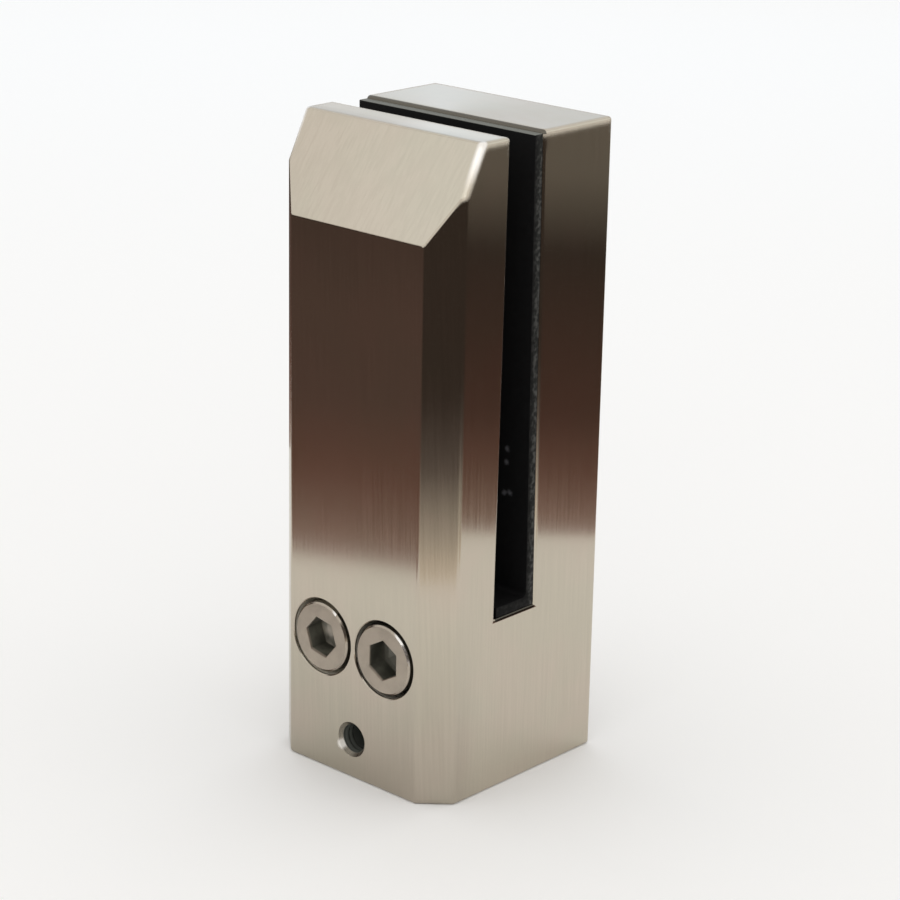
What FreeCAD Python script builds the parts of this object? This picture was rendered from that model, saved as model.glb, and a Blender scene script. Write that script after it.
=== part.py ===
import FreeCAD, Part
import math
import os

import Sketcher
from FreeCAD import Vector

# A glass spigot that is screwed to a wall or slab edge through its base and grips the lower edge of a
# pane in the slot between its two jaws. The origin lies on the wall face, midway between the two fixing
# screws. X runs across the block, +Y into the wall and +Z up, so the front face looks towards -Y.

SIZES = [
    ("block_width", 52.0, "block, side to side"),
    ("block_depth", 52.0, "block, wall face to front face"),
    ("base_below_fixings", 31.3, "fixing screws down to the base"),
    ("floor_above_fixings", 9.2, "fixing screws up to the slot's floor"),
    ("slot_depth", 106.5, "slot's floor up to the top of the jaws"),
    ("front_margin", 0.1, "front face left flat beside the rims of the counterbores"),
    ("flat_on_side", 5.8, "flat on both front uprights, measured along the side"),
    ("facet_height", 21.0, "sloping facet on the front jaw, measured down"),
    ("facet_depth", 10.4, "sloping facet on the front jaw, measured back"),
    ("front_radius", 1.5, "rounding on both sides of each flat, and of the facet's sides and foot"),
    ("edge_radius", 0.8, "rounding of the block's other edges"),
    ("slot_setback", 24.25, "front face to the slot's middle plane"),
    ("slot_floor_width", 13.0, "slot at its floor"),
    ("slot_mouth_width", 10.4, "slot at its mouth"),
    ("liner_thickness", 2.4, "rubber liner"),
    ("liner_bend_radius", 1.2, "inner corner of the liner"),
    ("liner_top_setback", 0.7, "liner below the top of the jaws"),
    ("liner_front_setback", 0.8, "liner short of the front jaw"),
    ("liner_side_setback", 0.3, "liner short of each side face"),
    ("fixing_spacing", 19.0, "fixing screws, centre to centre"),
    ("fixing_diameter", 9.8, "fixing screw's shank, over the crests of its M10 thread"),
    ("fixing_length", 50.0, "fixing screw under its head"),
    ("fixing_tip_chamfer", 1.2, "end of the fixing screw"),
    ("head_diameter", 16.0, "fixing screw's head"),
    ("head_height", 10.0, "fixing screw's head"),
    ("head_chamfer", 0.4, "rim of the head"),
    ("head_stand", 0.3, "head out of the front face"),
    ("head_socket_flats", 8.0, "hexagon socket in the head"),
    ("head_socket_depth", 5.0, "hexagon socket in the head"),
    ("shank_clearance", 1.2, "play round the shank, on the radius, so that the block can be tipped"),
    ("head_clearance", 0.9, "play round the head, on the radius"),
    ("bore_chamfer", 0.2, "rim of the counterbores"),
    ("left_socket_turn", 41.0, "left screw's socket, degrees from corner-up"),
    ("right_socket_turn", 0.0, "right screw's socket, degrees from corner-up"),
    ("levelling_rise", 9.3, "base up to the levelling screw"),
    ("levelling_diameter", 6.5, "levelling screw, at its thread's minor diameter"),
    ("levelling_clearance", 0.05, "play round the levelling screw, on the radius"),
    ("levelling_length", 25.0, "levelling screw"),
    ("levelling_chamfer", 1.0, "both ends of the levelling screw"),
    ("levelling_socket_flats", 4.0, "hexagon socket in the levelling screw"),
    ("levelling_socket_depth", 4.0, "hexagon socket in the levelling screw"),
    ("levelling_mouth", 0.8, "countersink of the tapped hole, on the radius"),
]

doc = FreeCAD.newDocument("glass_spigot")
sheet = doc.addObject("Spreadsheet::Sheet", "sizes")
for row, (alias, value, meaning) in enumerate(SIZES, start=1):
    sheet.set(f"A{row}", meaning)
    sheet.set(f"B{row}", str(value))
    sheet.setAlias(f"B{row}", alias)
doc.recompute()

# Planes and lines that several pieces share, as expressions on the sheet.
FRONT = "-sizes.block_depth"
TOP = "(sizes.floor_above_fixings + sizes.slot_depth)"
BASE = "-sizes.base_below_fixings"
SLOT_FLOOR = "sizes.floor_above_fixings"
SLOT_MIDDLE = f"({FRONT} + sizes.slot_setback)"
HEAD_TOP = f"({FRONT} - sizes.head_stand)"
HEAD_SEAT = f"({HEAD_TOP} + sizes.head_height)"
LEVELLING_AXIS = f"({BASE} + sizes.levelling_rise)"
BORE_RADIUS = "(sizes.head_diameter / 2 + sizes.head_clearance)"
BORE_RIM = f"({BORE_RADIUS} + sizes.bore_chamfer)"
FRONT_HALF = f"(sizes.fixing_spacing / 2 + {BORE_RIM} + sizes.front_margin + sizes.front_radius / 2)"


def measure(expression):
    """Present value of an expression on the sheet."""
    return float(sheet.evalExpression(expression))


def new_sketch(body, role, name, lift="0"):
    """Sketch on one of the body's origin planes, lifted along the plane's normal."""
    plane = next(f for f in body.Origin.OriginFeatures if f.Role == role)
    sketch = body.newObject("Sketcher::SketchObject", name)
    sketch.AttachmentSupport = [(plane, "")]
    sketch.MapMode = "FlatFace"
    sketch.setExpression("AttachmentOffset.Base.z", lift)
    return sketch


def tie(sketch, kind, geometry, point, expression):
    """Bind one coordinate of a sketch point, counted from the sketch's origin, to the sheet."""
    distance = measure(expression)
    if abs(distance) < 1e-9:
        axis = -2 if kind == "DistanceX" else -1
        sketch.addConstraint(Sketcher.Constraint("PointOnObject", geometry, point, axis))
        return
    if distance > 0:
        constraint = Sketcher.Constraint(kind, -1, 1, geometry, point, distance)
    else:
        constraint = Sketcher.Constraint(kind, geometry, point, -1, 1, -distance)
        expression = f"-({expression})"
    index = sketch.addConstraint(constraint)
    sketch.setExpression(f"Constraints[{index}]", expression)


def draw_outline(sketch, corners):
    """Closed outline of straight lines, each corner tied to the sheet by a pair of expressions."""
    points = [Vector(measure(across), measure(up), 0) for across, up in corners]
    count = len(points)
    for i in range(count):
        sketch.addGeometry(Part.LineSegment(points[i], points[(i + 1) % count]))
    for i in range(count):
        sketch.addConstraint(Sketcher.Constraint("Coincident", i, 2, (i + 1) % count, 1))
    for i, (across, up) in enumerate(corners):
        tie(sketch, "DistanceX", i, 1, across)
        tie(sketch, "DistanceY", i, 1, up)


def draw_circle(sketch, across, up, radius):
    """Circle whose centre and radius are tied to the sheet."""
    centre = Vector(measure(across), measure(up), 0)
    index = sketch.addGeometry(Part.Circle(centre, Vector(0, 0, 1), measure(radius)))
    tie(sketch, "DistanceX", index, 3, across)
    tie(sketch, "DistanceY", index, 3, up)
    size = sketch.addConstraint(Sketcher.Constraint("Radius", index, measure(radius)))
    sketch.setExpression(f"Constraints[{size}]", radius)


def draw_hexagon(sketch, flats):
    """Hexagon round the sketch's origin, with two corners on its vertical axis."""
    corners = []
    for i in range(6):
        turn = math.radians(90 + 60 * i)
        across = f"{math.cos(turn):.9f} * {flats} / sqrt(3)"
        up = f"{math.sin(turn):.9f} * {flats} / sqrt(3)"
        corners.append((across, up))
    draw_outline(sketch, corners)


def through_cut(body, sketch, name):
    """Cut a sketch on the middle plane right across the block."""
    cut = body.newObject("PartDesign::Pocket", name)
    cut.Profile = sketch
    cut.SideType = "Symmetric"
    cut.setExpression("Length", "sizes.block_width * 2")
    return cut


def make_spigot_body():
    """Square post with front flats, a sloping facet, the slot for the pane and three holes."""
    body = doc.addObject("PartDesign::Body", "SpigotBody")
    body.Label = "spigot_body"

    half = "sizes.block_width / 2"
    side_of_flat = f"{FRONT} + sizes.flat_on_side"
    section = new_sketch(body, "XY_Plane", "PostSection", BASE)
    draw_outline(section, [
        (f"-{half}", "0"),
        (half, "0"),
        (half, side_of_flat),
        (FRONT_HALF, FRONT),
        (f"-{FRONT_HALF}", FRONT),
        (f"-{half}", side_of_flat),
    ])
    post = body.newObject("PartDesign::Pad", "Post")
    post.Profile = section
    post.setExpression("Length", f"{TOP} + sizes.base_below_fixings")
    doc.recompute()

    uprights = body.newObject("PartDesign::Fillet", "FrontUprights")
    uprights.Base = (post, front_uprights(post.Shape))
    uprights.setExpression("Radius", "sizes.front_radius")
    doc.recompute()

    facet = new_sketch(body, "YZ_Plane", "FacetOutline")
    draw_outline(facet, [
        (FRONT, TOP),
        (FRONT, f"{TOP} - sizes.facet_height"),
        (f"{FRONT} + sizes.facet_depth", TOP),
    ])
    through_cut(body, facet, "Facet")

    slot = new_sketch(body, "YZ_Plane", "SlotOutline")
    draw_outline(slot, [
        (f"{SLOT_MIDDLE} - sizes.slot_floor_width / 2", SLOT_FLOOR),
        (f"{SLOT_MIDDLE} + sizes.slot_floor_width / 2", SLOT_FLOOR),
        (f"{SLOT_MIDDLE} + sizes.slot_mouth_width / 2", TOP),
        (f"{SLOT_MIDDLE} - sizes.slot_mouth_width / 2", TOP),
    ])
    slot_cut = through_cut(body, slot, "Slot")
    doc.recompute()

    facet_rounding = body.newObject("PartDesign::Fillet", "FacetRounding")
    facet_rounding.Base = (slot_cut, facet_edges(slot_cut.Shape))
    facet_rounding.setExpression("Radius", "sizes.front_radius")
    doc.recompute()

    rounding = body.newObject("PartDesign::Fillet", "EdgeRounding")
    rounding.Base = (facet_rounding, outer_edges(facet_rounding.Shape))
    rounding.setExpression("Radius", "sizes.edge_radius")
    doc.recompute()

    add_fixing_holes(body)
    add_levelling_hole(body)
    return body


def front_uprights(shape):
    """Names of the upright edges on both sides of each flat."""
    names = []
    for i, edge in enumerate(shape.Edges, start=1):
        first, last = edge.Vertexes
        upright = abs(first.X - last.X) < 1e-6 and abs(first.Y - last.Y) < 1e-6
        if upright and first.Y < -1e-6:
            names.append(f"Edge{i}")
    return names


def facet_edges(shape):
    """Names of the edges round the sloping facet, without the one at the top of the jaw."""
    top = measure(TOP)
    names = []
    for i, edge in enumerate(shape.Edges, start=1):
        faces = shape.ancestorsOfType(edge, Part.Face)
        beside_facet = any(is_sloping(face) for face in faces)
        if beside_facet and edge.CenterOfMass.z < top - 1e-6:
            names.append(f"Edge{i}")
    return names


def is_sloping(face):
    """True for a flat face that looks up and to the front."""
    if not isinstance(face.Surface, Part.Plane):
        return False
    normal = face.normalAt(0, 0)
    return normal.y < -0.1 and normal.z > 0.1


def outer_edges(shape):
    """Names of the block's sharp edges, without the two inner corners at the slot's floor."""
    floor = measure(SLOT_FLOOR)
    names = []
    for i, edge in enumerate(shape.Edges, start=1):
        middle = edge.CenterOfMass
        inner_corner = abs(middle.x) < 1e-6 and abs(middle.z - floor) < 1e-6
        if is_sharp(shape, edge) and not inner_corner:
            names.append(f"Edge{i}")
    return names


def is_sharp(shape, edge):
    """True where the two faces at an edge meet at an angle, and don't run smoothly into each other."""
    middle = edge.valueAt((edge.FirstParameter + edge.LastParameter) / 2)
    faces = shape.ancestorsOfType(edge, Part.Face)
    normals = [face.normalAt(*face.Surface.parameter(middle)) for face in faces]
    return normals[0].getAngle(normals[1]) > math.radians(10)


def add_fixing_holes(body):
    """Counterbored through holes for the two fixing screws, sunk from the front face."""
    places = new_sketch(body, "XZ_Plane", "FixingPlaces", "sizes.block_depth")
    hole_radius = "sizes.fixing_diameter / 2 + sizes.shank_clearance"
    for side in ("-", ""):
        draw_circle(places, f"{side}sizes.fixing_spacing / 2", "0", hole_radius)
    doc.recompute()
    holes = body.newObject("PartDesign::Hole", "FixingHoles")
    holes.Profile = places
    holes.DepthType = "ThroughAll"
    holes.HoleCutType = "Counterbore"
    holes.setExpression("Diameter", f"2 * ({hole_radius})")
    holes.setExpression("HoleCutDiameter", f"2 * {BORE_RADIUS}")
    holes.setExpression("HoleCutDepth", "sizes.head_height - sizes.head_stand")
    doc.recompute()

    rims = body.newObject("PartDesign::Chamfer", "BoreRims")
    rims.Base = (holes, front_circles(holes.Shape))
    rims.setExpression("Size", "sizes.bore_chamfer")
    doc.recompute()


def front_circles(shape):
    """Names of the circular edges that lie in the front face."""
    front = measure(FRONT)
    names = []
    for i, edge in enumerate(shape.Edges, start=1):
        closed = len(edge.Vertexes) == 1
        if closed and abs(edge.CenterOfMass.y - front) < 1e-6:
            names.append(f"Edge{i}")
    return names


def add_levelling_hole(body):
    """Tapped hole for the levelling screw, right through, with a small countersink at the front."""
    place = new_sketch(body, "XZ_Plane", "LevellingPlace", "sizes.block_depth")
    hole_radius = "sizes.levelling_diameter / 2 + sizes.levelling_clearance"
    draw_circle(place, "0", LEVELLING_AXIS, hole_radius)
    doc.recompute()
    hole = body.newObject("PartDesign::Hole", "LevellingHole")
    hole.Profile = place
    hole.DepthType = "ThroughAll"
    hole.HoleCutType = "Countersink"
    hole.HoleCutCountersinkAngle = 90
    hole.setExpression("Diameter", f"2 * ({hole_radius})")
    hole.setExpression("HoleCutDiameter", f"2 * ({hole_radius} + sizes.levelling_mouth)")
    doc.recompute()


def make_slot_liner():
    """Rubber strip bent to an L: it covers the slot's wall-side face and its floor."""
    body = doc.addObject("PartDesign::Body", "SlotLiner")
    body.Label = "slot_liner"

    lean = "(sizes.slot_floor_width - sizes.slot_mouth_width) / 2 / sizes.slot_depth"
    wall_at_floor = f"({SLOT_MIDDLE} + sizes.slot_floor_width / 2)"
    rise = "(sizes.slot_depth - sizes.liner_top_setback)"
    front_end = f"{SLOT_MIDDLE} - sizes.slot_floor_width / 2 + sizes.liner_front_setback"
    strip_top = f"{SLOT_FLOOR} + sizes.liner_thickness"
    outline = new_sketch(body, "YZ_Plane", "LinerOutline")
    draw_outline(outline, [
        (wall_at_floor, SLOT_FLOOR),
        (f"{wall_at_floor} - {lean} * {rise}", f"{SLOT_FLOOR} + {rise}"),
        (f"{wall_at_floor} - {lean} * {rise} - sizes.liner_thickness", f"{SLOT_FLOOR} + {rise}"),
        (f"{wall_at_floor} - {lean} * sizes.liner_thickness - sizes.liner_thickness", strip_top),
        (front_end, strip_top),
        (front_end, SLOT_FLOOR),
    ])
    strip = body.newObject("PartDesign::Pad", "Strip")
    strip.Profile = outline
    strip.SideType = "Symmetric"
    strip.setExpression("Length", "sizes.block_width - 2 * sizes.liner_side_setback")
    doc.recompute()

    bend = body.newObject("PartDesign::Fillet", "Bend")
    bend.Base = (strip, [inner_corner_edge(strip.Shape, measure(strip_top), measure(front_end))])
    bend.setExpression("Radius", "sizes.liner_bend_radius")
    doc.recompute()
    return body


def inner_corner_edge(shape, height, front_end):
    """Name of the edge along X where the liner's two inner faces meet."""
    for i, edge in enumerate(shape.Edges, start=1):
        middle = edge.CenterOfMass
        at_height = abs(middle.z - height) < 1e-6 and abs(middle.x) < 1e-6
        if at_height and abs(middle.y - front_end) > 1e-3:
            return f"Edge{i}"
    raise ValueError("the liner has no inner corner")


def revolve(body, name, corners):
    """Turned solid round the body's own Y axis, from half its outline in the XY plane."""
    outline = new_sketch(body, "XY_Plane", f"{name}Outline")
    draw_outline(outline, corners)
    turned = body.newObject("PartDesign::Revolution", name)
    turned.Profile = outline
    turned.ReferenceAxis = (outline, ["V_Axis"])
    turned.Angle = 360
    doc.recompute()


def cut_socket(body, front, flats, depth):
    """Hexagon socket sunk from a screw's front end along +Y."""
    outline = new_sketch(body, "XZ_Plane", "SocketOutline", f"-({front})")
    draw_hexagon(outline, flats)
    socket = body.newObject("PartDesign::Pocket", "Socket")
    socket.Profile = outline
    socket.setExpression("Length", depth)
    doc.recompute()


def make_fixing_screw(side, sign):
    """Socket head cap screw whose head sits on the floor of its counterbore, turned as it was left."""
    body = doc.addObject("PartDesign::Body", f"FixingScrew{side.title()}")
    body.Label = f"fixing_screw_{side}"
    head = "sizes.head_diameter / 2"
    shank = "sizes.fixing_diameter / 2"
    tip = f"({HEAD_SEAT} + sizes.fixing_length)"
    revolve(body, "Screw", [
        ("0", HEAD_TOP),
        (f"{head} - sizes.head_chamfer", HEAD_TOP),
        (head, f"{HEAD_TOP} + sizes.head_chamfer"),
        (head, HEAD_SEAT),
        (shank, HEAD_SEAT),
        (shank, f"{tip} - sizes.fixing_tip_chamfer"),
        (f"{shank} - sizes.fixing_tip_chamfer", tip),
        ("0", tip),
    ])
    cut_socket(body, HEAD_TOP, "sizes.head_socket_flats", "sizes.head_socket_depth")
    body.Placement.Rotation = FreeCAD.Rotation(Vector(0, 1, 0), measure(f"sizes.{side}_socket_turn"))
    body.setExpression("Placement.Rotation.Angle", f"sizes.{side}_socket_turn")
    body.setExpression("Placement.Base.x", f"{sign} * sizes.fixing_spacing / 2")
    return body


def make_levelling_screw():
    """Set screw in the tapped hole, with its tip level with the wall face."""
    body = doc.addObject("PartDesign::Body", "LevellingScrew")
    body.Label = "levelling_screw"
    radius = "sizes.levelling_diameter / 2"
    chamfered = f"{radius} - sizes.levelling_chamfer"
    front = "-sizes.levelling_length"
    revolve(body, "Screw", [
        ("0", front),
        (chamfered, front),
        (radius, f"{front} + sizes.levelling_chamfer"),
        (radius, "-sizes.levelling_chamfer"),
        (chamfered, "0"),
        ("0", "0"),
    ])
    cut_socket(body, front, "sizes.levelling_socket_flats", "sizes.levelling_socket_depth")
    body.setExpression("Placement.Base.z", LEVELLING_AXIS)
    return body


pieces = [
    make_spigot_body(),
    make_slot_liner(),
    make_fixing_screw("left", -1),
    make_fixing_screw("right", 1),
    make_levelling_screw(),
]
doc.recompute()

for obj in doc.Objects:
    if "Invalid" in obj.State or "Error" in obj.State:
        raise RuntimeError(f"{obj.Label} failed: {obj.State}")
for piece in pieces:
    if piece.Shape.isNull() or not piece.Shape.isValid():
        raise RuntimeError(f"{piece.Label} has no valid solid")

os.makedirs("parts", exist_ok=True)
for piece in pieces:
    piece.Shape.exportStep(f"parts/{piece.Label}.step")
    box = piece.Shape.BoundBox
    print(f"{piece.Label}: {piece.Shape.Volume:.1f} mm3, {len(piece.Shape.Solids)} solid,",
          f"x {box.XMin:.2f} to {box.XMax:.2f}, y {box.YMin:.2f} to {box.YMax:.2f},",
          f"z {box.ZMin:.2f} to {box.ZMax:.2f}")
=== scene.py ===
# %% [markdown]
# A glass spigot that is screwed to the edge of a slab and grips a pane in its slot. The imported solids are
# the fixed frame of this scene: they are loaded first, in metres, and everything else is fitted to them.
# The block's own solid stays, because a machined block is exactly what a solid model gives. The screws and
# the rubber liner are modelled again here, because threads and cut rubber need finer shapes.

# %% Load the frame
import math

import bmesh
import bpy
from mathutils import Matrix, Vector


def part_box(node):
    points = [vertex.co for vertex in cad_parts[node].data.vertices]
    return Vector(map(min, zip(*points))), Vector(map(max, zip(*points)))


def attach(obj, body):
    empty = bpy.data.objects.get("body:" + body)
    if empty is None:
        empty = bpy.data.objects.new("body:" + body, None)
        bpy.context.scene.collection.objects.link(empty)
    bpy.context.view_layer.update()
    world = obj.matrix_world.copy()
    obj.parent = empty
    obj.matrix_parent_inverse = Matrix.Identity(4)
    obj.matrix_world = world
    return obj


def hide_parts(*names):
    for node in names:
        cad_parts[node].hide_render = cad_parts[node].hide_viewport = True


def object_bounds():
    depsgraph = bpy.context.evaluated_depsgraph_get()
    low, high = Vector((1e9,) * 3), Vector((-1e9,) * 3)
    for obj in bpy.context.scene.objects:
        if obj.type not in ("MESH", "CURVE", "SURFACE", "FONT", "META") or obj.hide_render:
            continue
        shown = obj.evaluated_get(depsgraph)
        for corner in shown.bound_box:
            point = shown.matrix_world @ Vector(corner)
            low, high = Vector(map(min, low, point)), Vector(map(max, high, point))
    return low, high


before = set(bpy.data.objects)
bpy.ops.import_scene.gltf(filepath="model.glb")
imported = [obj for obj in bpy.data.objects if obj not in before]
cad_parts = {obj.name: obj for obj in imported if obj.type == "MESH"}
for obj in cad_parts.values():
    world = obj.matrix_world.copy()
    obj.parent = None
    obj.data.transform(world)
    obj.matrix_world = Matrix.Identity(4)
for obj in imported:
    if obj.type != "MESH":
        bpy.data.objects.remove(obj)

cad_low, cad_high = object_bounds()
MM = 0.001
print("solids:", sorted(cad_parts), "box:", tuple(cad_low), tuple(cad_high))

# %% [markdown]
# The camera stands in front and to the right, a little above the block. Its place was worked out from the
# block's corners in the photograph. A long lens keeps the uprights nearly parallel, and the camera is
# turned about its own line of sight by one degree, as the photograph is.

# %% Camera
EYE = Vector((380.74, -440.01, 228.29)) * MM
AZIMUTH, ELEVATION, RIGHT_RISE = math.radians(42.276), math.radians(18.498), math.radians(1.068)
FOCAL_PIXELS, IMAGE_PIXELS, SENSOR_MM = 2664.1, 900, 36.0
NEAREST_SEEN = 0.01

sight = Vector((
    -math.sin(AZIMUTH) * math.cos(ELEVATION),
    math.cos(AZIMUTH) * math.cos(ELEVATION),
    -math.sin(ELEVATION),
))
roll = math.asin(math.sin(RIGHT_RISE) / math.cos(ELEVATION))
camera_data = bpy.data.cameras.new("camera")
camera_data.sensor_width = SENSOR_MM
camera_data.lens = FOCAL_PIXELS * SENSOR_MM / IMAGE_PIXELS
camera_data.clip_start = NEAREST_SEEN
camera = bpy.data.objects.new("camera", camera_data)
turn = sight.to_track_quat("-Z", "Y").to_matrix() @ Matrix.Rotation(roll, 3, "Z")
camera.matrix_world = Matrix.Translation(EYE) @ turn.to_4x4()
bpy.context.scene.collection.objects.link(camera)
bpy.context.scene.camera = camera
print("camera lens", round(camera_data.lens, 2), "mm")

# %% [markdown]
# Every new piece ends in the same few steps: the bmesh becomes a mesh, its normals are turned outwards, it
# is shaded smooth except along its sharp edges, and it rides on a body of the model. One helper does this.

# %% Helpers that finish a piece
WELD_DISTANCE = 1e-7
SHARP_DEGREES, SCREW_SHARP_DEGREES = 32, 20


def object_from(name, bm, material):
    """Object at the origin, in one material, whose mesh is a bmesh. The bmesh is used up."""
    mesh = bpy.data.meshes.new(name)
    bm.to_mesh(mesh)
    bm.free()
    mesh.materials.append(material)
    made = bpy.data.objects.new(name, mesh)
    bpy.context.scene.collection.objects.link(made)
    return made


def finish_piece(name, bm, material, body, replaced=None, sharp_degrees=SHARP_DEGREES):
    """Turn a bmesh into a piece in one material that rides on a body, and hide the solid that it replaces."""
    bmesh.ops.remove_doubles(bm, verts=bm.verts, dist=WELD_DISTANCE)
    bmesh.ops.recalc_face_normals(bm, faces=bm.faces)
    piece = object_from(name, bm, material)
    piece.data.shade_smooth()
    piece.data.set_sharp_from_angle(angle=math.radians(sharp_degrees))
    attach(piece, body)
    if replaced:
        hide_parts(replaced)
    print(name, "has", len(piece.data.polygons), "faces")


def middle_of(node):
    """Middle of a solid's box."""
    low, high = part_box(node)
    return (low + high) / 2


print("screws stand at", [tuple(middle_of(node)) for node in ("fixing_screw_right", "levelling_screw")])

# %% [markdown]
# Every finish here is made of shader nodes. To place, set and link a node takes several lines, so each
# helper below does that for one kind of node and returns the socket that comes out of it.

# %% Helpers for materials and sums
def new_material(name):
    """Material with one Principled shader, and its node tree, ready for more nodes."""
    material = bpy.data.materials.new(name)
    material.use_nodes = True
    tree = material.node_tree
    return material, tree, tree.nodes["Principled BSDF"]


def add_node(tree, kind, **settings):
    """Node of a kind, with its properties set by name."""
    node = tree.nodes.new(kind)
    for key, value in settings.items():
        setattr(node, key, value)
    return node


def feed(tree, socket, value):
    """Link a socket to an input, or set the input to a plain value."""
    if isinstance(value, bpy.types.NodeSocket):
        tree.links.new(value, socket)
    else:
        socket.default_value = value


def math_node(tree, operation, *values, clamp=False):
    """Math on sockets or plain numbers."""
    node = add_node(tree, "ShaderNodeMath", operation=operation, use_clamp=clamp)
    for socket, value in zip(node.inputs, values):
        feed(tree, socket, value)
    return node.outputs[0]


def plus(tree, first, second):
    """Sum of two values."""
    return math_node(tree, "ADD", first, second)


def minus(tree, first, second):
    """First value less the second."""
    return math_node(tree, "SUBTRACT", first, second)


def times(tree, first, *others):
    """Product of values. For masks, the place that lies in all of them."""
    for other in others:
        first = math_node(tree, "MULTIPLY", first, other)
    return first


def absolute(tree, value):
    """Value without its sign."""
    return math_node(tree, "ABSOLUTE", value)


print("materials so far:", len(bpy.data.materials))

# %% [markdown]
# A mask says where a finish applies: the place of a point goes in, and a number from 0 to 1 comes out. Most
# masks here are limits, ranges and distances, and colours are mixed by them.

# %% Helpers for masks and colours
NOISE_LOW, NOISE_HIGH = 0.3, 0.7


def under(tree, value, limit):
    """Mask of the places where a value is less than a limit."""
    return math_node(tree, "LESS_THAN", value, limit)


def over(tree, value, limit):
    """Mask of the places where a value is more than a limit."""
    return math_node(tree, "GREATER_THAN", value, limit)


def range_node(tree, value, low, high, to_low=0.0, to_high=1.0, smooth=True):
    """Map a value's range to another, eased at both ends if it is smooth."""
    node = add_node(tree, "ShaderNodeMapRange", interpolation_type="SMOOTHSTEP" if smooth else "LINEAR")
    tree.links.new(value, node.inputs["Value"])
    for name, number in (("From Min", low), ("From Max", high), ("To Min", to_low), ("To Max", to_high)):
        node.inputs[name].default_value = number
    return node.outputs["Result"]


def spread(tree, noise, to_low=0.0, to_high=1.0):
    """Spread the middle of a noise, where most of it lies, over a range."""
    return range_node(tree, noise, NOISE_LOW, NOISE_HIGH, to_low, to_high)


def mix_colour(tree, factor, first, second):
    """Mix two colours, given as sockets or plain tuples, by a socket."""
    node = add_node(tree, "ShaderNodeMix", data_type="RGBA")
    tree.links.new(factor, node.inputs["Factor"])
    for name, value in (("A", first), ("B", second)):
        socket = next(s for s in node.inputs if s.name == name and s.type == "RGBA")
        feed(tree, socket, (*value, 1.0) if isinstance(value, tuple) else value)
    return next(s for s in node.outputs if s.type == "RGBA")


def split(tree, vector):
    """X, Y and Z of a vector."""
    node = add_node(tree, "ShaderNodeSeparateXYZ")
    tree.links.new(vector, node.inputs[0])
    return node.outputs


def from_axis(tree, across, up, axis_across, axis_up):
    """Distance from an axis that runs along Y."""
    sideways, upwards = minus(tree, across, axis_across), minus(tree, up, axis_up)
    squares = plus(tree, times(tree, sideways, sideways), times(tree, upwards, upwards))
    return math_node(tree, "SQRT", squares)


print("noise is spread from", NOISE_LOW, "to", NOISE_HIGH)

# %% [markdown]
# Fine grain comes from noise, and a bump makes it stand out. A node group is a box of nodes with named
# inputs and outputs. It is built once and then placed in any material that needs its effect, with values
# of its own there.

# %% Helpers for noise, bumps and node groups
def noise_node(tree, place, scale, detail=2.0, roughness=0.5):
    """Noise in space, with about as many clouds in a metre as its scale says."""
    node = add_node(tree, "ShaderNodeTexNoise")
    for name, number in (("Scale", scale), ("Detail", detail), ("Roughness", roughness)):
        node.inputs[name].default_value = number
    tree.links.new(place, node.inputs["Vector"])
    return node.outputs["Fac"]


def bump_node(tree, height, strength, depth, normal=None):
    """Normal that is bumped by a height, on top of another normal if there is one."""
    node = add_node(tree, "ShaderNodeBump")
    node.inputs["Strength"].default_value = strength
    node.inputs["Distance"].default_value = depth
    tree.links.new(height, node.inputs["Height"])
    if normal is not None:
        tree.links.new(normal, node.inputs["Normal"])
    return node.outputs["Normal"]


def new_group(name, vectors, numbers, results):
    """Empty group with named sockets. Returns it, what comes in and what goes out."""
    group = bpy.data.node_groups.new(name, "ShaderNodeTree")
    for names, way, kind in (
        (vectors, "INPUT", "NodeSocketVector"),
        (numbers, "INPUT", "NodeSocketFloat"),
        (results, "OUTPUT", "NodeSocketFloat"),
    ):
        for socket_name in names:
            group.interface.new_socket(socket_name, in_out=way, socket_type=kind)
    return group, add_node(group, "NodeGroupInput").outputs, add_node(group, "NodeGroupOutput").inputs


def place_group(tree, group, values):
    """Place a group in a material and feed its inputs by name. Returns its outputs."""
    node = add_node(tree, "ShaderNodeGroup", node_tree=group)
    for name, value in values.items():
        feed(tree, node.inputs[name], value)
    return node.outputs


print("node groups so far:", len(bpy.data.node_groups))

# %% [markdown]
# Brushed steel gets its look from countless fine scratches that all run one way. On the uprights they run
# up and down, on the two top faces from side to side, and on the facet in short, slanted, patchy strokes.
# The group works out, for each point, which way is across the scratches and which way is along them, and
# stretches noise accordingly. It gives a value for the fine lines and one for broad, soft clouds of tone.

# %% Node group: scratches of brushed steel
FACING_FLAT, FACING_SLOPE = 0.8, 0.3
UPRIGHT_SLANT, FACET_SLANT = 0.03, -0.2
FACET_COARSENESS, FACET_SHORTNESS = 0.5, 4.0
LINE_DETAIL, LINE_ROUGHNESS, CLOUD_DETAIL = 4.0, 0.65, 3.0
CLOUDS_PER_METRE, PATCHES_PER_METRE = 55.0, 210.0
PATCH_LOW, PATCH_HIGH, PATCH_FAINT, PATCH_STRONG = 0.35, 0.7, 0.4, 2.2
LINE_MIDDLE, FACET_LINE_MIDDLE = 0.42, 0.44


def choose(tree, mask, no, yes):
    """One of two values, by a mask."""
    node = add_node(tree, "ShaderNodeMix", data_type="FLOAT")
    for index, socket in ((0, mask), (2, no), (3, yes)):
        tree.links.new(socket, node.inputs[index])
    return node.outputs[0]


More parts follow.
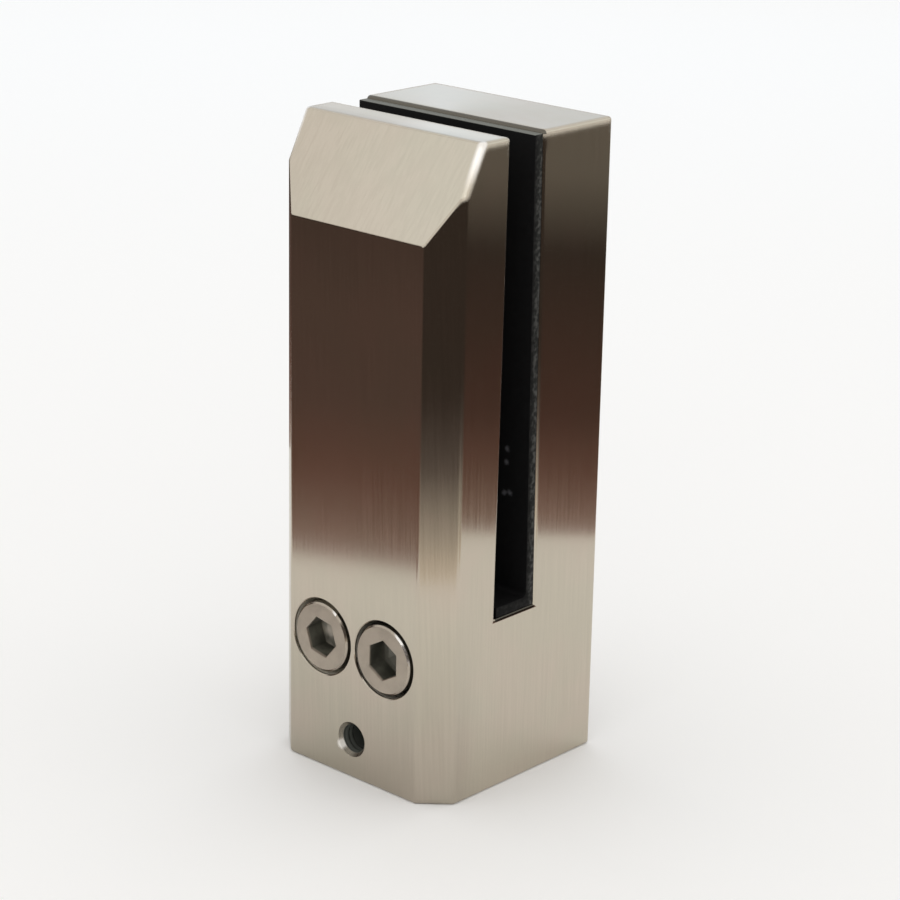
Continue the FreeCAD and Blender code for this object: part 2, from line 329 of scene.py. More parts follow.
def make_scratches():
    """Group that turns a place and a facing direction into fine scratches and broad clouds."""
    group, given, wanted = new_group(
        "steel_scratches", ("Place", "Facing"), ("Lines per metre", "Line length"), ("Lines", "Clouds"),
    )
    x, y, z = split(group, given["Place"])
    facing = split(group, given["Facing"])
    upwards = absolute(group, facing["Z"])
    on_side = over(group, absolute(group, facing["X"]), FACING_FLAT)
    on_top = over(group, upwards, FACING_FLAT)
    on_slope = over(group, upwards, FACING_SLOPE)

    upright = plus(group, x, times(group, z, UPRIGHT_SLANT))
    slanted = plus(group, x, times(group, z, FACET_SLANT))
    on_front = choose(group, on_slope, upright, slanted)
    across = choose(group, on_top, choose(group, on_side, on_front, y), y)
    along = choose(group, on_top, z, x)
    coarseness = range_node(group, on_slope, 0.0, 1.0, 1.0, FACET_COARSENESS)
    shortness = range_node(group, on_slope, 0.0, 1.0, 1.0, FACET_SHORTNESS)
    fine = times(group, across, given["Lines per metre"], coarseness)
    drawn_out = times(group, math_node(group, "DIVIDE", along, given["Line length"]), shortness)
    stretched = add_node(group, "ShaderNodeCombineXYZ")
    for socket, value in zip(stretched.inputs, (fine, drawn_out, on_side)):
        group.links.new(value, socket)

    lines = noise_node(group, stretched.outputs[0], 1.0, LINE_DETAIL, LINE_ROUGHNESS)
    patches = noise_node(group, given["Place"], PATCHES_PER_METRE, CLOUD_DETAIL)
    patch = range_node(group, patches, PATCH_LOW, PATCH_HIGH, PATCH_FAINT, PATCH_STRONG)
    patchy = plus(group, times(group, minus(group, lines, LINE_MIDDLE), patch), FACET_LINE_MIDDLE)
    group.links.new(choose(group, on_slope, lines, patchy), wanted["Lines"])
    group.links.new(noise_node(group, given["Place"], CLOUDS_PER_METRE, CLOUD_DETAIL), wanted["Clouds"])
    return group


scratches = make_scratches()
print("group", scratches.name, [s.name for s in scratches.interface.items_tree])

# %% [markdown]
# The block is satin stainless steel. It is a bare metal, so nearly all of its colour is what it mirrors.
# Its finish is built up in layers, each a function that takes the colour so far and mixes in its own by a
# mask. The first layer is plain brushed steel, a little paler in the scratches.

# %% First layer of the block: brushed steel
LINES_PER_METRE, LINE_LENGTH = 2200.0, 25 * MM
CLOUD_LOW, CLOUD_HIGH = 0.35, 0.65
STEEL_DULL = ((0.541, 0.475, 0.393), (0.522, 0.475, 0.389))
STEEL_BRIGHT = ((0.585, 0.515, 0.430), (0.566, 0.516, 0.422))


def brush_steel(tree, place, facing):
    """Plain brushed steel. Returns its scratches and its colour."""
    brush = place_group(tree, scratches, {
        "Place": place, "Facing": facing, "Lines per metre": LINES_PER_METRE, "Line length": LINE_LENGTH,
    })
    cloud = range_node(tree, brush["Clouds"], CLOUD_LOW, CLOUD_HIGH)
    dull, bright = mix_colour(tree, cloud, *STEEL_DULL), mix_colour(tree, cloud, *STEEL_BRIGHT)
    return brush["Lines"], mix_colour(tree, spread(tree, brush["Lines"]), dull, bright)


print("brushed with", LINES_PER_METRE, "lines in a metre")

# %% [markdown]
# The sloping facet of the front jaw is painted a shade paler than the rest, more so towards the right:
# painted light on a face that looks up. Near the top, its side edges carry a pale painted highlight.
# They are found as the places that lie both in the facet's plane and at a side of the block.

# %% Second layer of the block: facet
FRONT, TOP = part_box("spigot_body")[0].y, cad_high.z
FACET_FACING_UP, FACET_FACING_SLACK = 0.45, 0.15
FACET_LIGHT_PAINT, FACET_LIGHT_LEFT, FACET_LIGHT_RIGHT = (0.80, 0.78, 0.68), 0.11, 0.27
FACET_HEIGHT, FACET_NORMAL_Y, FACET_NORMAL_Z = 21 * MM, -0.896, 0.444
EDGE_HIGHLIGHT_PAINT, EDGE_HIGHLIGHT_MOST = (0.95, 0.92, 0.88), 0.95
EDGE_HIGHLIGHT_DEPTH, EDGE_HIGHLIGHT_WIDTH, EDGE_HIGHLIGHT_SOFT = 1.8 * MM, 1.7 * MM, 0.9 * MM
EDGE_HIGHLIGHT_FOOT, EDGE_HIGHLIGHT_HEAD = 10 * MM, 3 * MM


def paint_facet_light(tree, colour, x, y, z, facing_up):
    """Painted light on the facet, and a painted highlight along its side edges."""
    off_slope = absolute(tree, minus(tree, facing_up, FACET_FACING_UP))
    on_facet = under(tree, off_slope, FACET_FACING_SLACK)
    # Painted light: the facet is paler, more so to the right.
    facet_light_share = range_node(tree, x, cad_low.x, cad_high.x, FACET_LIGHT_LEFT, FACET_LIGHT_RIGHT)
    facet_lit = mix_colour(tree, times(tree, on_facet, facet_light_share), colour, FACET_LIGHT_PAINT)

    # Painted highlight along the facet's side edges, high up.
    outwards = times(tree, minus(tree, y, FRONT), FACET_NORMAL_Y)
    upwards = times(tree, minus(tree, z, TOP - FACET_HEIGHT), FACET_NORMAL_Z)
    at_facet = range_node(tree, plus(tree, outwards, upwards), -EDGE_HIGHLIGHT_DEPTH, EDGE_HIGHLIGHT_SOFT - EDGE_HIGHLIGHT_DEPTH)
    side = cad_high.x - EDGE_HIGHLIGHT_WIDTH
    at_side = range_node(tree, absolute(tree, x), side, side + EDGE_HIGHLIGHT_SOFT)
    high_up = range_node(tree, z, TOP - EDGE_HIGHLIGHT_FOOT, TOP - EDGE_HIGHLIGHT_HEAD, 0.0, EDGE_HIGHLIGHT_MOST)
    return mix_colour(tree, times(tree, at_facet, at_side, high_up), facet_lit, EDGE_HIGHLIGHT_PAINT)


print("front face at", round(FRONT / MM, 2), "mm, top at", round(TOP / MM, 2), "mm")

# %% [markdown]
# No brush reaches into the holes. A bare metal wall deep in a hole would mirror only other walls and look
# black, so the walls are hardly metallic, and their colours are painted shade, dark in the tapped hole and
# paler in the left bore than in the right. The countersink of the tapped hole gets painted shade, apart
# from one pale spot that is a painted glint. All these places are found by their distance from the axis of
# a screw.

# %% Masks of the block's holes
BORE_EDGE, HOLE_EDGE, MOUTH_EDGE = 9.0 * MM, 3.35 * MM, 4.1 * MM
MOUTH_START, MOUTH_DEPTH, WALL_SKIN = 0.2 * MM, 1.0 * MM, 0.05 * MM
HOLE_GLINT_LEFT, HOLE_GLINT_DOWN, HOLE_GLINT_CORE, HOLE_GLINT_EDGE = 3.2 * MM, 2.1 * MM, 0.6 * MM, 1.6 * MM


def mask_holes(tree, x, y, z):
    """Masks of the insides of all holes, of the tapped hole, of its countersink and of the painted glint
    there.
    """
    bore_axis, hole_axis = middle_of("fixing_screw_right"), middle_of("levelling_screw")
    from_bore = from_axis(tree, absolute(tree, x), z, bore_axis.x, bore_axis.z)
    from_hole = from_axis(tree, x, z, hole_axis.x, hole_axis.z)
    from_hole_glint = from_axis(tree, x, z, hole_axis.x - HOLE_GLINT_LEFT, hole_axis.z - HOLE_GLINT_DOWN)
    in_hole = under(tree, from_hole, HOLE_EDGE)
    in_either = math_node(tree, "MAXIMUM", under(tree, from_bore, BORE_EDGE), in_hole)
    behind_front = range_node(tree, y, FRONT + MOUTH_START, FRONT + MOUTH_DEPTH)
    inside = times(tree, in_either, behind_front, under(tree, y, -WALL_SKIN))
    near_front = under(tree, y, FRONT + MOUTH_DEPTH)
    in_mouth = times(tree, under(tree, from_hole, MOUTH_EDGE), near_front)
    painted_glint = times(tree, range_node(tree, from_hole_glint, HOLE_GLINT_CORE, HOLE_GLINT_EDGE, 1.0, 0.0), near_front)
    return inside, in_hole, in_mouth, painted_glint


print("edges of the holes in mm:", [round(edge / MM, 2) for edge in (BORE_EDGE, HOLE_EDGE, MOUTH_EDGE)])

# %% [markdown]
# Low on its front the block is painted darker, as painted shade, and its tops get painted shade towards the
# facet and on the wall side. Painted shade also lies where rubber meets steel: on the slot's rim along the
# back of the liner, and below the liner's foot at both ends.

# %% Third layer of the block: painted shade low down, on the tops and by the liner
BLACK, LINER_SHADE_COLOUR = (0.0, 0.0, 0.0), (0.03, 0.03, 0.026)
LOW_SHADE_HEIGHT, LOW_SHADE_MOST, LOW_SHADE_NEAR, LOW_SHADE_FAR = 45 * MM, 0.22, 3 * MM, 15 * MM
TOP_SKIN = 0.05 * MM
FRONT_TOP_START, FRONT_TOP_END, FRONT_TOP_DARK = 10.4 * MM, 15.5 * MM, 0.2
WALL_TOP_START, WALL_TOP_END, WALL_TOP_DARK = 28 * MM, 30 * MM, 0.12
RIM_OFFSET, RIM_HEIGHT = 1.3 * MM, 0.9 * MM
RIM_SHADE_START, RIM_SHADE_FADE, RIM_SHADE_END = -0.5 * MM, 0.6 * MM, 0.85 * MM
FOOT_SHADE_END, FOOT_SHADE_FADE, FOOT_SHADE_START, FOOT_SHADE_SPARE = 0.85 * MM, 0.6 * MM, 0.1 * MM, 0.5 * MM
RIM_SHADE_MOST, FOOT_SHADE_MOST = 0.8, 0.85


def paint_shade_low_and_on_tops(tree, colour, y, z):
    """Painted shade low on the front, and on the tops."""
    # Painted shade low on the front.
    low_down = range_node(tree, z, cad_low.z, cad_low.z + LOW_SHADE_HEIGHT, LOW_SHADE_MOST, 0.0, smooth=False)
    near_front = range_node(tree, y, FRONT + LOW_SHADE_NEAR, FRONT + LOW_SHADE_FAR, 1.0, 0.0)
    painted_tone = mix_colour(tree, times(tree, low_down, near_front), colour, BLACK)
    # Painted shade on the tops.
    front_top = range_node(tree, y, FRONT + FRONT_TOP_START, FRONT + FRONT_TOP_END, FRONT_TOP_DARK, 0.0)
    wall_top = range_node(tree, y, FRONT + WALL_TOP_START, FRONT + WALL_TOP_END, 0.0, WALL_TOP_DARK)
    on_top = over(tree, z, TOP - TOP_SKIN)
    return mix_colour(tree, times(tree, on_top, plus(tree, front_top, wall_top)), painted_tone, BLACK)


def paint_shade_by_liner(tree, colour, y, z):
    """Painted shade along the slot's rim behind the liner and below the liner's foot."""
    low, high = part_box("slot_liner")
    rim = high.y - RIM_OFFSET
    # Painted shade on the slot's rim by the liner, and below the liner's foot.
    at_rim = times(tree, over(tree, z, TOP - RIM_HEIGHT), over(tree, y, rim + RIM_SHADE_START))
    rim_fade = range_node(tree, y, rim + RIM_SHADE_FADE, rim + RIM_SHADE_END, RIM_SHADE_MOST, 0.0)
    across_slot = times(tree, over(tree, y, low.y - FOOT_SHADE_SPARE), under(tree, y, high.y))
    foot_fade = range_node(tree, z, low.z - FOOT_SHADE_END, low.z - FOOT_SHADE_FADE, 0.0, FOOT_SHADE_MOST)
    at_foot = times(tree, across_slot, foot_fade, under(tree, z, low.z + FOOT_SHADE_START))
    liner_shades = math_node(tree, "MAXIMUM", times(tree, at_rim, rim_fade), at_foot)
    return mix_colour(tree, liner_shades, colour, LINER_SHADE_COLOUR)


# Painted shade reaches this high up the front.
print("dust reaches", round(LOW_SHADE_HEIGHT / MM), "mm up the front")

# %% [markdown]
# The solid has small, even roundings, but the top edges of a used block are softer than that. A Bevel node
# gives the shader rounder normals there and leaves the mesh alone. Its radius is nought except near the top
# and beside the facet.

# %% Worn edges of the block
WORN_RADIUS, WORN_SAMPLES = 2.2 * MM, 6
WORN_TOP_FOOT, WORN_TOP_HEAD = 6 * MM, 3 * MM
WORN_FACET_FOOT, WORN_FACET_HEAD, WORN_FACET_NEAR, WORN_FACET_FAR = 14 * MM, 10 * MM, 11 * MM, 14 * MM


def wear_edges(tree, y, z):
    """Normals that are rounder along the top edges and beside the facet."""
    worn = add_node(tree, "ShaderNodeBevel", samples=WORN_SAMPLES)
    near_top = range_node(tree, z, TOP - WORN_TOP_FOOT, TOP - WORN_TOP_HEAD, 0.0, WORN_RADIUS)
    high_up = range_node(tree, z, TOP - WORN_FACET_FOOT, TOP - WORN_FACET_HEAD, 0.0, WORN_RADIUS)
    near_front = range_node(tree, y, FRONT + WORN_FACET_NEAR, FRONT + WORN_FACET_FAR, 1.0, 0.0)
    radius = math_node(tree, "MAXIMUM", near_top, times(tree, high_up, near_front))
    tree.links.new(radius, worn.inputs["Radius"])
    return worn.outputs["Normal"]


print("edges are worn to", round(WORN_RADIUS / MM, 2), "mm")

# %% [markdown]
# Now the layers come together on one shader. Brushing smears the mirror image across the scratches and
# hardly along them: that is anisotropy, a plain number on the shader. The scratches also change the
# roughness a little and make a very low bump.

# %% Material of the block
# Painted shade and a painted glint on the countersink; painted shade and light on the walls of the holes.
MOUTH_PAINTED_SHADE, MOUTH_ROUGHER, GLINT_PAINT, GLINT_LESS_METAL = 0.45, 0.1, (0.99, 0.96, 0.90), 0.8
RIGHT_BORE_SHADE, LEFT_BORE_LIGHT, TAPPED_WALL_SHADE = (0.46, 0.43, 0.37), (0.85, 0.80, 0.70), (0.085, 0.09, 0.08)
LEFT_LIMIT = -5 * MM
SATIN_LEAST, SATIN_MOST, WALL_METAL, BRUSHED_ONE_WAY = 0.155, 0.2, 0.05, 0.96
SCRATCH_BUMP, SCRATCH_DEPTH = 0.08, 0.04 * MM


def make_block_steel():
    """Satin stainless steel, brushed along the block, with worn edges, painted light and shade, and dull
    walls in its holes.
    """
    material, tree, shader = new_material("brushed_block_steel")
    coordinates = add_node(tree, "ShaderNodeTexCoord").outputs
    x, y, z = split(tree, coordinates["Object"])
    lines, colour = brush_steel(tree, coordinates["Object"], coordinates["Normal"])
    colour = paint_facet_light(tree, colour, x, y, z, split(tree, coordinates["Normal"])["Z"])
    inside, in_hole, in_mouth, painted_glint = mask_holes(tree, x, y, z)
    # Painted shade on the countersink of the tapped hole.
    colour = mix_colour(tree, times(tree, in_mouth, MOUTH_PAINTED_SHADE), colour, BLACK)
    # Painted glint: a pale, less metallic spot on the countersink.
    colour = mix_colour(tree, painted_glint, colour, GLINT_PAINT)
    colour = paint_shade_low_and_on_tops(tree, colour, y, z)
    colour = paint_shade_by_liner(tree, colour, y, z)
    # Painted shade and light on the hole walls: dark in the tapped hole, paler in the left bore than the
    # right.
    painted_bores = mix_colour(tree, under(tree, x, LEFT_LIMIT), RIGHT_BORE_SHADE, LEFT_BORE_LIGHT)
    painted_walls = mix_colour(tree, in_hole, painted_bores, TAPPED_WALL_SHADE)
    tree.links.new(mix_colour(tree, inside, colour, painted_walls), shader.inputs["Base Color"])

    satin = spread(tree, lines, SATIN_LEAST, SATIN_MOST)
    dull_mouth = math_node(tree, "SUBTRACT", in_mouth, painted_glint, clamp=True)
    tree.links.new(plus(tree, satin, times(tree, dull_mouth, MOUTH_ROUGHER)), shader.inputs["Roughness"])
    metal = range_node(tree, inside, 0.0, 1.0, 1.0, WALL_METAL)
    less_metal = times(tree, painted_glint, GLINT_LESS_METAL)
    tree.links.new(math_node(tree, "SUBTRACT", metal, less_metal, clamp=True), shader.inputs["Metallic"])
    shader.inputs["Anisotropic"].default_value = BRUSHED_ONE_WAY
    scratched = bump_node(tree, lines, SCRATCH_BUMP, SCRATCH_DEPTH, wear_edges(tree, y, z))
    tree.links.new(scratched, shader.inputs["Normal"])
    return material


def dress(node, material):
    """Give a solid of the frame its material."""
    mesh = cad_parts[node].data
    mesh.materials.clear()
    mesh.materials.append(material)
    print(node, "is dressed in", material.name)


block_steel = make_block_steel()
dress("spigot_body", block_steel)

# %% [markdown]
# The screws are plain turned and rolled steel. Fixing screws and set screw differ in tone and size but not
# in kind, so what they share is put into two groups. One gives the fine, sand-like grain of the steel and
# its blotches. The other tells where on a screw a point lies, from its depth behind the front and its
# distance from the axis: in the socket, on the socket's floor or on the rim.

# %% Node groups: grain of turned steel, and places on a screw
GRAINS_PER_METRE, BLOTCHES_PER_METRE = 2600.0, 260.0
BEHIND_START, BEHIND_END, RIM_DEPTH = 0.2 * MM, 0.7 * MM, 0.45 * MM
SOCKET_FLOOR_FADE, SOCKET_FLOOR_END = 0.5 * MM, 0.1 * MM
GLINT_RIGHT, GLINT_UP, GLINT_START, GLINT_END = 0.81, 0.59, 0.88, 0.96


def make_turned_grain():
    """Group with the fine grain and the blotches of turned steel."""
    group, given, wanted = new_group("turned_grain", ("Place",), (), ("Grain", "Blotches"))
    group.links.new(noise_node(group, given["Place"], GRAINS_PER_METRE), wanted["Grain"])
    group.links.new(noise_node(group, given["Place"], BLOTCHES_PER_METRE), wanted["Blotches"])
    return group


def make_screw_places():
    """Group with masks of the places on a screw along Y, or on a left and a right one alike."""
    group, given, wanted = new_group(
        "screw_places", ("Place",),
        ("Front", "Axis across", "Axis up", "Head height", "Socket radius", "Socket depth", "Rim radius"),
        ("Behind face", "In socket", "On floor", "On rim", "Upper right", "On left"),
    )
    x, y, z = split(group, given["Place"])
    depth = minus(group, y, given["Front"])
    from_middle = from_axis(group, absolute(group, x), z, given["Axis across"], given["Axis up"])
    on_left = under(group, x, LEFT_LIMIT)
    own_axis = minus(group, given["Axis across"], times(group, on_left, given["Axis across"], 2.0))
    to_right = times(group, minus(group, x, own_axis), GLINT_RIGHT)
    to_top = times(group, minus(group, z, given["Axis up"]), GLINT_UP)
    outwards = math_node(group, "DIVIDE", plus(group, to_right, to_top), given["Rim radius"])
    in_head = under(group, depth, given["Head height"])
    past_face = over(group, from_middle, given["Rim radius"])
    masks = {
        "Behind face": times(group, range_node(group, depth, BEHIND_START, BEHIND_END), in_head),
        "In socket": under(group, from_middle, given["Socket radius"]),
        "On floor": range_node(group, minus(group, depth, given["Socket depth"]), -SOCKET_FLOOR_FADE, -SOCKET_FLOOR_END),
        "On rim": times(group, past_face, under(group, depth, RIM_DEPTH)),
        "Upper right": range_node(group, outwards, GLINT_START, GLINT_END),
        "On left": on_left,
    }
    for name, mask in masks.items():
        group.links.new(mask, wanted[name])
    return group


turned_grain, screw_places = make_turned_grain(), make_screw_places()
print("groups", turned_grain.name, screw_places.name)

# %% [markdown]
# The steel of the screws is a shade darker than the block. Inside the sockets it is dull and less metallic,
# or else a deep metal hole would look quite black, and its colour there is grime and painted shade. The left
# socket's floor gets pale painted light, each head's flank painted shade, lighter on the left, and the upper
# right of each rim a painted highlight.

# %% Materials of the screws
SOCKET_GRIME_AND_SHADE = ((0.05, 0.05, 0.038), (0.14, 0.136, 0.11))
SOCKET_FLOOR_LIGHT_AND_SHADE = ((0.18, 0.175, 0.145), (0.66, 0.61, 0.52))
RIGHT_FLANK_SHADE, LEFT_FLANK_LIGHT, RIM_HIGHLIGHT_PAINT = (0.19, 0.18, 0.15), (0.50, 0.47, 0.40), (0.97, 0.95, 0.92)
RIM_SMOOTHER, GRIME_METAL, GRAIN_BUMP, GRAIN_DEPTH = 0.2, 0.25, 0.25, 0.03 * MM


def make_screw_steel(name, node, tones, roughness, sizes):
    """Dull turned steel with a fine grain, with grime, painted light and shade, and a painted rim highlight.
    """
    material, tree, shader = new_material(name)
    place = add_node(tree, "ShaderNodeTexCoord").outputs["Object"]
    grain = place_group(tree, turned_grain, {"Place": place})
    axis = middle_of(node)
    values = {"Place": place, "Front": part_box(node)[0].y, "Axis across": axis.x, "Axis up": axis.z, **sizes}
    where = place_group(tree, screw_places, values)

    tone = spread(tree, grain["Blotches"])
    # Grime and painted shade in the socket.
    clean, grime_and_shade = mix_colour(tree, tone, *tones), mix_colour(tree, tone, *SOCKET_GRIME_AND_SHADE)
    # Painted light on the left socket's floor, painted shade on the right one's.
    painted_tone = mix_colour(tree, times(tree, where["On left"], tone), *SOCKET_FLOOR_LIGHT_AND_SHADE)
    painted_socket = mix_colour(tree, where["On floor"], grime_and_shade, painted_tone)
    # Painted shade on the flank round the head, lighter on the left.
    painted_flank = mix_colour(tree, where["On left"], RIGHT_FLANK_SHADE, LEFT_FLANK_LIGHT)
    hidden = mix_colour(tree, where["In socket"], painted_flank, painted_socket)
    # Painted highlight on the upper right of the rim.
    turned = mix_colour(tree, times(tree, where["On rim"], where["Upper right"]), clean, RIM_HIGHLIGHT_PAINT)
    tree.links.new(mix_colour(tree, where["Behind face"], turned, hidden), shader.inputs["Base Color"])

    smoother = times(tree, where["On rim"], RIM_SMOOTHER)
    dull = spread(tree, grain["Grain"], *roughness)
    tree.links.new(minus(tree, dull, smoother), shader.inputs["Roughness"])
    grime = times(tree, where["Behind face"], where["In socket"])
    tree.links.new(range_node(tree, grime, 0.0, 1.0, 1.0, GRIME_METAL), shader.inputs["Metallic"])
    tree.links.new(bump_node(tree, grain["Grain"], GRAIN_BUMP, GRAIN_DEPTH), shader.inputs["Normal"])
    return material


screw_steel = make_screw_steel(
    "screw_steel", "fixing_screw_right",
    tones=((0.415, 0.365, 0.303), (0.47, 0.415, 0.344)), roughness=(0.34, 0.46),
    sizes={
        "Head height": 10.5 * MM, "Socket radius": 5.5 * MM,
        "Socket depth": 5.0 * MM, "Rim radius": 7.61 * MM,
    },
)
set_screw_steel = make_screw_steel(
    "set_screw_steel", "levelling_screw",
    tones=((0.34, 0.33, 0.32), (0.42, 0.41, 0.39)), roughness=(0.4, 0.55),
    sizes={
        "Head height": 4.5 * MM, "Socket radius": 2.5 * MM,
        "Socket depth": 4.0 * MM, "Rim radius": 2.46 * MM,
    },
)
print("materials", screw_steel.name, set_screw_steel.name)

# %% [markdown]
# A socket screw is a turned shape with a hexagon sunk into it. Its flat front is filled between two rings,
# the round rim and the hexagon. From there, each further ring is the last one extruded, scaled about the
# axis and moved along it.

# %% Helpers for turned shapes along Y
SEGMENTS, SOCKET_SIDES = 60, 6
SOCKET_SHELF, SOCKET_CONE = 0.72, 0.18


def ring_of(bm, sides, radius, y):
    """Open ring of edges round the Y axis, with a corner straight up."""
    upright = Matrix.Translation((0, y, 0)) @ Matrix.Rotation(math.pi / 2, 4, "X")
    made = bmesh.ops.create_circle(bm, cap_ends=False, segments=sides, radius=radius, matrix=upright)
    return list(dict.fromkeys(edge for vert in made["verts"] for edge in vert.link_edges))


def grow(bm, edges, scale, along):
    """Extrude a ring, scale it about the Y axis and move it along that axis. Returns the new ring."""
    made = bmesh.ops.extrude_edge_only(bm, edges=edges)["geom"]
    verts = [part for part in made if isinstance(part, bmesh.types.BMVert)]
    bmesh.ops.scale(bm, vec=(scale, 1.0, scale), verts=verts)
    bmesh.ops.translate(bm, vec=(0, along, 0), verts=verts)
    return [part for part in made if isinstance(part, bmesh.types.BMEdge)]


def close_to_point(bm, edges, along):
    """Extrude a ring and merge it into one point on the axis."""
    ring = grow(bm, edges, 1.0, along)
    verts = list(dict.fromkeys(vert for edge in ring for vert in edge.verts))
    bmesh.ops.pointmerge(bm, verts=verts, merge_co=(0, verts[0].co.y, 0))


def make_socket_face(bm, radius, front, flats, depth):
    """Round face with a hexagon socket and a drilled cone in it. Returns the socket's mouth and the rim."""
    mouth = ring_of(bm, SOCKET_SIDES, flats / math.sqrt(3), front)
    floor = grow(bm, mouth, 1.0, depth)
    shelf = grow(bm, floor, SOCKET_SHELF, 0.0)
    close_to_point(bm, shelf, flats * SOCKET_CONE)
    rim = ring_of(bm, SEGMENTS, radius, front)
    bmesh.ops.triangle_fill(bm, use_beauty=True, edges=mouth + rim)
    return mouth, rim


def move_to_axis(bm, node):
    """Move a turned shape from the Y axis to the axis of a screw's solid."""
    middle = middle_of(node)
    bmesh.ops.translate(bm, vec=(middle.x, 0, middle.z), verts=bm.verts)


def soften(bm, geom, width, segments=2, affect="EDGES"):
    """Bevel edges or corners to a round profile."""
    bmesh.ops.bevel(
        bm, geom=geom, offset=width, offset_type="OFFSET", affect=affect,
        segments=segments, profile=0.5, material=-1,
    )


print("turned shapes have", SEGMENTS, "segments")

# %% [markdown]
# A thread is one small ridge that climbs round the shank. Spin does exactly this: it turns a short outline
# round an axis and, with a step along that axis, lets it climb. Neighbouring turns share their points, so
# they weld into one wall. Points near an end are then drawn in towards the core, as the chamfer of a real
# thread does.

# %% Helpers for threads
STEPS_PER_TURN = 40
CREST_START, CREST_END, RIDGE_END = 0.40, 0.54, 0.94
THREAD_WELD = 1e-6


def wind(bm, geom, pitch, turns):
    """Spin an outline round the Y axis and let it climb by one pitch in each turn."""
    bmesh.ops.spin(
        bm, geom=geom, cent=(0, 0, 0), axis=(0, 1, 0), dvec=(0, pitch / STEPS_PER_TURN, 0),
        angle=turns * 2 * math.pi, steps=turns * STEPS_PER_TURN, use_duplicate=False,
    )


def cut_thread(bm, core, crest, pitch, low, high, chamfer):
    """Screw thread round the Y axis between two heights, with both ends chamfered down to the core."""
    outline = ((core, 0.0), (crest, CREST_START), (crest, CREST_END), (core, RIDGE_END), (core, 1.0))
    verts = [bm.verts.new((radius, low - pitch + share * pitch, 0)) for radius, share in outline]
    edges = [bm.edges.new(pair) for pair in zip(verts, verts[1:])]
    wind(bm, verts + edges, pitch, math.ceil((high - low) / pitch) + 1)
    bmesh.ops.remove_doubles(bm, verts=bm.verts, dist=THREAD_WELD)
    for height, normal in ((low, (0, -1, 0)), (high, (0, 1, 0))):
        bmesh.ops.bisect_plane(
            bm, geom=list(bm.verts) + list(bm.edges) + list(bm.faces), dist=WELD_DISTANCE,
            plane_co=(0, height, 0), plane_no=normal, clear_outer=True,
        )
    for vert in bm.verts:
        radius = math.hypot(vert.co.x, vert.co.z)
        room = core - chamfer + min(vert.co.y - low, high - vert.co.y)
        allowed = max(min(radius, room), core - chamfer)
        if allowed < radius:
            vert.co.x *= allowed / radius
            vert.co.z *= allowed / radius
    bmesh.ops.holes_fill(bm, edges=bm.edges, sides=0)


print("threads have", STEPS_PER_TURN, "steps in each turn")

# %% [markdown]
# The two fixing screws fill the counterbores of the block. Head, socket and shank follow the solids, and
# the thread is cut on the far end, where it stands out of the wall face. Each screw was left at its own
# turn when it was tightened, so the left socket is turned.

# %% Fixing screws
HEAD_RADIUS, HEAD_HEIGHT, HEAD_RIM = 8.0 * MM, 10.0 * MM, 0.4 * MM
SOCKET_FLATS, SOCKET_DEPTH, SOCKET_BEVEL = 8.0 * MM, 5.0 * MM, 0.25 * MM
THREAD_CREST, THREAD_CORE, THREAD_PITCH, THREAD_LENGTH = 4.9 * MM, 4.1 * MM, 1.5 * MM, 32 * MM
THREAD_CHAMFER, SHANK_POINT = 0.5 * MM, 1.0 * MM
LEFT_TURN, RIGHT_TURN = 41.0, 0.0


def make_fixing_screw(node, socket_turn):
    """Socket head screw at the place of its solid, with its thread."""
    low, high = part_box(node)
    front, tip = low.y, high.y
    bm = bmesh.new()
    cut_thread(bm, THREAD_CORE, THREAD_CREST, THREAD_PITCH, tip - THREAD_LENGTH, tip, THREAD_CHAMFER)
    face_radius = HEAD_RADIUS - HEAD_RIM
    mouth, face_rim = make_socket_face(bm, face_radius, front, SOCKET_FLATS, SOCKET_DEPTH)
    side_rim = grow(bm, face_rim, HEAD_RADIUS / face_radius, HEAD_RIM)
    seat_rim = grow(bm, side_rim, 1.0, HEAD_HEIGHT - HEAD_RIM)
    neck = grow(bm, seat_rim, THREAD_CREST / HEAD_RADIUS, 0.0)
    shank_end = grow(bm, neck, 1.0, tip - THREAD_LENGTH - front - HEAD_HEIGHT)
    close_to_point(bm, shank_end, SHANK_POINT)
    soften(bm, mouth, SOCKET_BEVEL)
    turned = Matrix.Rotation(math.radians(socket_turn), 3, "Y")
    bmesh.ops.rotate(bm, cent=(0, 0, 0), matrix=turned, verts=bm.verts)
    move_to_axis(bm, node)
    finish_piece(f"threaded_{node}", bm, screw_steel, "block", node, SCREW_SHARP_DEGREES)


make_fixing_screw("fixing_screw_left", LEFT_TURN)
make_fixing_screw("fixing_screw_right", RIGHT_TURN)

# %% [markdown]
# The levelling screw is a headless set screw: thread from end to end, a small socket in the end that faces
# the front, and a cupped tip that bites the wall. It has a body of its own, because it is screwed in and
# out.

# %% Levelling screw
SET_CREST, SET_CORE, SET_PITCH = 3.25 * MM, 2.75 * MM, 1.25 * MM
SET_SOCKET_FLATS, SET_SOCKET_DEPTH = 4.0 * MM, 4.0 * MM
SET_RIM, SET_CHAMFER = 0.3 * MM, 0.45 * MM
CUP_LENGTH, CUP_DEPTH, CUP_RIM, CUP_LIP = 0.7 * MM, 1.0 * MM, 0.68, 0.9


